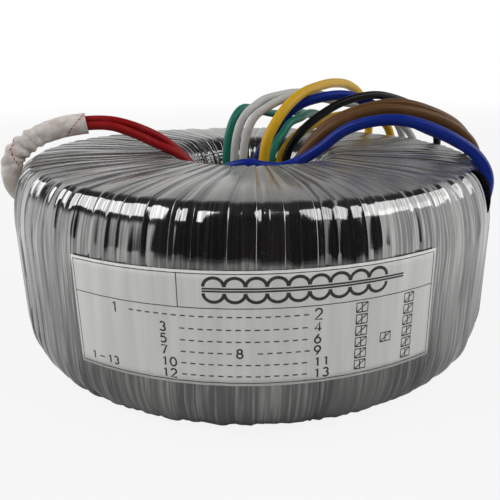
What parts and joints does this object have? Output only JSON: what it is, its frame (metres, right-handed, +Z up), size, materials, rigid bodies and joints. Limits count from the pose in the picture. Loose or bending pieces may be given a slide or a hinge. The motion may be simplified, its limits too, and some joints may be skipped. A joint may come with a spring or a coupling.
{
  "type": "toroidal transformer",
  "caption": "Film-wrapped ring transformer with colour-coded flying leads tucked down its centre hole; steps mains voltage down to several low-voltage outputs.",
  "frame": {"origin": "centre of the ring's flat underside", "axes": "+Z up along the axis of the ring; the middle of the rating label faces -Y"},
  "size_m": [0.1499, 0.1451, 0.0766],
  "materials": {
    "core_steel": "wound strip, bare edges",
    "layer_film": "polyester film, satin",
    "enamelled_wire": "enamelled copper, glossy",
    "splice_tube": "insulating tube",
    "wrap_film": "lapped polyester film, high gloss",
    "label_stock": "self-adhesive label, semi-gloss",
    "woven_sleeve": "woven glass sleeve with a red-brown tracer",
    "tinned_wire": "tinned copper strands",
    "lead_red": "wire insulation, semi-gloss",
    "lead_blue": "wire insulation, semi-gloss",
    "lead_brown": "wire insulation, semi-gloss",
    "lead_black": "wire insulation, semi-gloss",
    "lead_white": "wire insulation, semi-gloss",
    "lead_green": "wire insulation, semi-gloss",
    "lead_yellow": "wire insulation, semi-gloss"
  },
  "bodies": {
    "root": {"steel_core": "core_steel", "core_film": "layer_film", "primary_winding": "enamelled_wire", "primary_film": "layer_film", "winding_32v_brown": "enamelled_wire", "winding_32v_blue": "enamelled_wire", "secondary_film": "layer_film", "winding_15v_white": "enamelled_wire", "winding_15v_green": "enamelled_wire", "winding_15v_yellow": "enamelled_wire", "splices": "splice_tube", "film_wrap": "wrap_film", "rating_label": "label_stock", "lead_sleeve": "woven_sleeve", "tinned_ends": "tinned_wire", "lead_red_a": "lead_red", "lead_red_b": "lead_red", "lead_blue_a": "lead_blue", "lead_blue_b": "lead_blue", "lead_brown_a": "lead_brown", "lead_brown_b": "lead_brown", "lead_black": "lead_black", "lead_white_a": "lead_white", "lead_white_b": "lead_white", "lead_green_a": "lead_green", "lead_green_b": "lead_green", "lead_yellow_a": "lead_yellow", "lead_yellow_b": "lead_yellow"}
  },
  "joints": []
}
